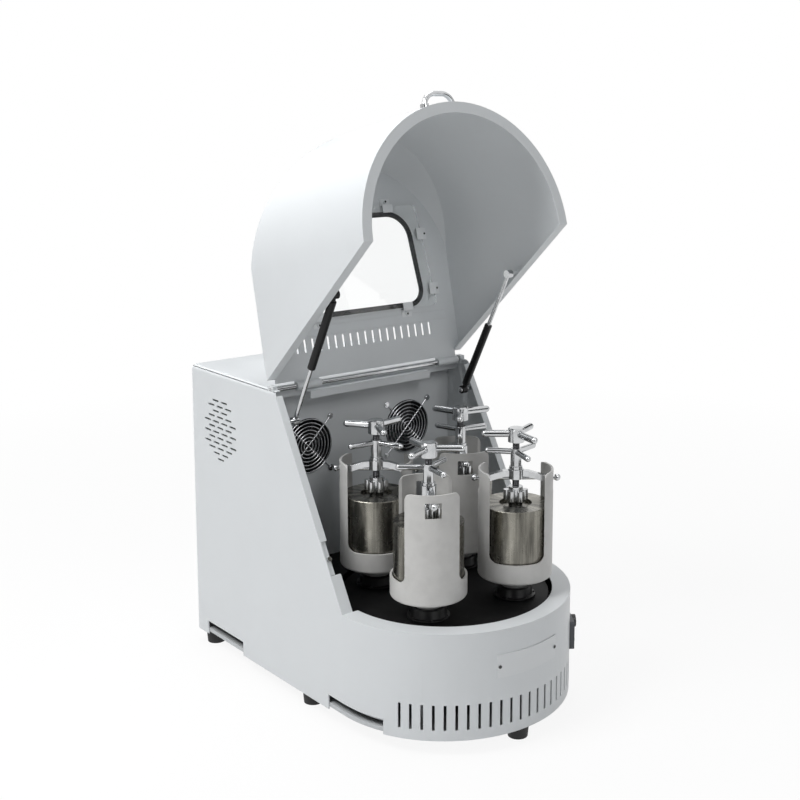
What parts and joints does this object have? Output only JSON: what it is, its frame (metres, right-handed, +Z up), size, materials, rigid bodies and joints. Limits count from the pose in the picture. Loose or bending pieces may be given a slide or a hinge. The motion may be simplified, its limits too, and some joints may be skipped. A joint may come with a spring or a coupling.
{
  "type": "planetary ball mill",
  "caption": "Bench planetary ball mill: clamped grinding jars on a turntable in a half-round tub, under a hinged hood with a window and gas struts.",
  "frame": {"origin": "middle of the closed outline's footprint, at bench level", "axes": "+Z up, -Y to the drum-shaped front, +X to the right of someone facing that front"},
  "size_m": [0.47, 0.769, 1.1365],
  "materials": {
    "white_enamel": "smooth white powder coat",
    "black_enamel": "satin black paint",
    "base_steel": "grey paint",
    "rubber": "matt",
    "polished_steel": "polished",
    "jar_steel": "turned",
    "bare_steel": "machined",
    "black_oxide": "black oxide",
    "fan_plastic": "matt black",
    "guard_wire": "plated wire",
    "window_glass": "clear",
    "panel_plastic": "satin dark grey",
    "knob_plastic": "gloss black",
    "green_button": "gloss green",
    "red_button": "gloss red",
    "plate_aluminium": "satin",
    "motor_paint": "blue-grey paint",
    "inlet_plastic": "matt black"
  },
  "bodies": {
    "housing": {"casing": "white_enamel", "base_frame": "base_steel", "rubber_feet": "rubber", "chamber_back_wall": "white_enamel", "chamber_tub": "black_enamel", "fan_guards": "guard_wire", "fan_frames": "fan_plastic", "hinge_rod": "polished_steel", "casing_fasteners": "polished_steel", "control_panel": "panel_plastic", "power_inlet": "inlet_plastic", "access_plate": "plate_aluminium", "drive_motor": "motor_paint", "drive_belt": "rubber", "ring_gear": "bare_steel"},
    "lid": {"lid_shell": "white_enamel", "window_pane": "window_glass", "window_gasket": "rubber", "lid_handle": "polished_steel", "lid_fittings": "polished_steel"},
    "left_strut_rod": {"left_strut_rod": "polished_steel"},
    "left_strut_cylinder": {"left_strut_cylinder": "black_oxide"},
    "right_strut_cylinder": {"right_strut_cylinder": "black_oxide"},
    "right_strut_rod": {"right_strut_rod": "polished_steel"},
    "carrier": {"turntable": "black_enamel", "main_shaft": "bare_steel"},
    "motor_rotor": {"motor_pulley": "bare_steel"},
    "left_fan": {"left_fan_rotor": "fan_plastic"},
    "right_fan": {"right_fan_rotor": "fan_plastic"},
    "knob": {"speed_knob": "knob_plastic"},
    "start": {"start_button": "green_button"},
    "stop": {"stop_button": "red_button"},
    "station_1": {"sleeve_1": "white_enamel", "jar_1": "jar_steel", "jar_lid_1": "jar_steel", "yoke_1": "polished_steel"},
    "screw_1": {"clamp_screw_1": "black_oxide"},
    "handle_1": {"clamp_handle_1": "polished_steel"},
    "nut_1": {"lock_nut_1": "polished_steel"},
    "station_2": {"sleeve_2": "white_enamel", "jar_2": "jar_steel", "jar_lid_2": "jar_steel", "yoke_2": "polished_steel"},
    "screw_2": {"clamp_screw_2": "black_oxide"},
    "handle_2": {"clamp_handle_2": "polished_steel"},
    "nut_2": {"lock_nut_2": "polished_steel"},
    "station_3": {"sleeve_3": "white_enamel", "jar_3": "jar_steel", "jar_lid_3": "jar_steel", "yoke_3": "polished_steel"},
    "screw_3": {"clamp_screw_3": "black_oxide"},
    "handle_3": {"clamp_handle_3": "polished_steel"},
    "nut_3": {"lock_nut_3": "polished_steel"},
    "station_4": {"sleeve_4": "white_enamel", "jar_4": "jar_steel", "jar_lid_4": "jar_steel", "yoke_4": "polished_steel"},
    "screw_4": {"clamp_screw_4": "black_oxide"},
    "handle_4": {"clamp_handle_4": "polished_steel"},
    "nut_4": {"lock_nut_4": "polished_steel"}
  },
  "joints": [
    {"name": "lid_hinge", "type": "hinge", "parent": "housing", "child": "lid", "pos_m": [0, 0.08, 0.586], "axis": [-1, 0, 0], "range_deg": [-103, 0]},
    {"name": "left_strut_swing", "type": "hinge", "parent": "housing", "child": "left_strut_rod", "pos_m": [-0.205, 0.042, 0.531], "axis": [-1, 0, 0], "range_deg": [-116, 0]},
    {"name": "left_strut_slide", "type": "slide", "parent": "left_strut_rod", "child": "left_strut_cylinder", "axis": [0, -0.4662, 0.8847], "range_m": [-0.0915, 0]},
    {"name": "right_strut_swing", "type": "hinge", "parent": "housing", "child": "right_strut_cylinder", "pos_m": [0.205, 0.042, 0.531], "axis": [-1, 0, 0], "range_deg": [-116, 0]},
    {"name": "right_strut_slide", "type": "slide", "parent": "right_strut_cylinder", "child": "right_strut_rod", "axis": [0, -0.4662, 0.8847], "range_m": [-0.0915, 0]},
    {"name": "turntable_spin", "type": "hinge", "parent": "housing", "child": "carrier", "pos_m": [0, -0.148, 0.208], "axis": [0, 0, 1], "continuous": true},
    {"name": "motor_spin", "type": "hinge", "parent": "housing", "child": "motor_rotor", "pos_m": [0, 0.252, 0.07], "axis": [0, 0, 1], "continuous": true},
    {"name": "left_fan_spin", "type": "hinge", "parent": "housing", "child": "left_fan", "pos_m": [-0.122, 0.142, 0.451], "axis": [0, 1, 0], "continuous": true},
    {"name": "right_fan_spin", "type": "hinge", "parent": "housing", "child": "right_fan", "pos_m": [0.122, 0.142, 0.451], "axis": [0, 1, 0], "continuous": true},
    {"name": "speed_knob_turn", "type": "hinge", "parent": "housing", "child": "knob", "pos_m": [0.21351, -0.26065, 0.127], "axis": [0.829, -0.5592, 0], "range_deg": [-270, 0]},
    {"name": "start_press", "type": "slide", "parent": "housing", "child": "start", "axis": [-0.829, 0.5592, 0], "range_m": [0, 0.0015], "stiffness_N_per_m": 600, "springref_m": -0.0005},
    {"name": "stop_press", "type": "slide", "parent": "housing", "child": "stop", "axis": [-0.829, 0.5592, 0], "range_m": [0, 0.0015], "stiffness_N_per_m": 600, "springref_m": -0.0005},
    {"name": "jar_spin_1", "type": "hinge", "parent": "carrier", "child": "station_1", "pos_m": [-0.08103, -0.04316, 0.208], "axis": [0, 0, 1], "continuous": true},
    {"name": "handle_turn_1", "type": "hinge", "parent": "screw_1", "child": "handle_1", "pos_m": [-0.08103, -0.04316, 0.518], "axis": [0, 0, 1], "range_deg": [0, 722]},
    {"name": "screw_rise_1", "type": "slide", "parent": "station_1", "child": "screw_1", "axis": [0, 0, 1], "range_m": [0, 0.006]},
    {"name": "lock_nut_turn_1", "type": "hinge", "parent": "station_1", "child": "nut_1", "pos_m": [-0.08103, -0.04316, 0.475], "axis": [0, 0, 1], "range_deg": [0, 360]},
    {"name": "jar_spin_2", "type": "hinge", "parent": "carrier", "child": "station_2", "pos_m": [-0.10484, -0.22903, 0.208], "axis": [0, 0, 1], "continuous": true},
    {"name": "handle_turn_2", "type": "hinge", "parent": "screw_2", "child": "handle_2", "pos_m": [-0.10484, -0.22903, 0.518], "axis": [0, 0, 1], "range_deg": [0, 722]},
    {"name": "screw_rise_2", "type": "slide", "parent": "station_2", "child": "screw_2", "axis": [0, 0, 1], "range_m": [0, 0.006]},
    {"name": "lock_nut_turn_2", "type": "hinge", "parent": "station_2", "child": "nut_2", "pos_m": [-0.10484, -0.22903, 0.475], "axis": [0, 0, 1], "range_deg": [0, 360]},
    {"name": "jar_spin_3", "type": "hinge", "parent": "carrier", "child": "station_3", "pos_m": [0.08103, -0.25284, 0.208], "axis": [0, 0, 1], "continuous": true},
    {"name": "handle_turn_3", "type": "hinge", "parent": "screw_3", "child": "handle_3", "pos_m": [0.08103, -0.25284, 0.518], "axis": [0, 0, 1], "range_deg": [0, 722]},
    {"name": "screw_rise_3", "type": "slide", "parent": "station_3", "child": "screw_3", "axis": [0, 0, 1], "range_m": [0, 0.006]},
    {"name": "lock_nut_turn_3", "type": "hinge", "parent": "station_3", "child": "nut_3", "pos_m": [0.08103, -0.25284, 0.475], "axis": [0, 0, 1], "range_deg": [0, 360]},
    {"name": "jar_spin_4", "type": "hinge", "parent": "carrier", "child": "station_4", "pos_m": [0.10484, -0.06697, 0.208], "axis": [0, 0, 1], "continuous": true},
    {"name": "handle_turn_4", "type": "hinge", "parent": "screw_4", "child": "handle_4", "pos_m": [0.10484, -0.06697, 0.518], "axis": [0, 0, 1], "range_deg": [0, 722]},
    {"name": "screw_rise_4", "type": "slide", "parent": "station_4", "child": "screw_4", "axis": [0, 0, 1], "range_m": [0, 0.006]},
    {"name": "lock_nut_turn_4", "type": "hinge", "parent": "station_4", "child": "nut_4", "pos_m": [0.10484, -0.06697, 0.475], "axis": [0, 0, 1], "range_deg": [0, 360]}
  ],
  "couplings": [
    {"joint": "left_strut_swing", "follows": "lid_hinge", "ratio": 1.1216},
    {"joint": "left_strut_slide", "follows": "lid_hinge", "m_per_rad": 0.050613},
    {"joint": "right_strut_swing", "follows": "lid_hinge", "ratio": 1.1216},
    {"joint": "right_strut_slide", "follows": "lid_hinge", "m_per_rad": 0.050613},
    {"joint": "motor_spin", "follows": "turntable_spin", "ratio": 2.1053},
    {"joint": "jar_spin_1", "follows": "turntable_spin", "ratio": -3},
    {"joint": "handle_turn_1", "follows": "screw_rise_1", "rad_per_m": 2094.4},
    {"joint": "jar_spin_2", "follows": "turntable_spin", "ratio": -3},
    {"joint": "handle_turn_2", "follows": "screw_rise_2", "rad_per_m": 2094.4},
    {"joint": "jar_spin_3", "follows": "turntable_spin", "ratio": -3},
    {"joint": "handle_turn_3", "follows": "screw_rise_3", "rad_per_m": 2094.4},
    {"joint": "jar_spin_4", "follows": "turntable_spin", "ratio": -3},
    {"joint": "handle_turn_4", "follows": "screw_rise_4", "rad_per_m": 2094.4}
  ]
}
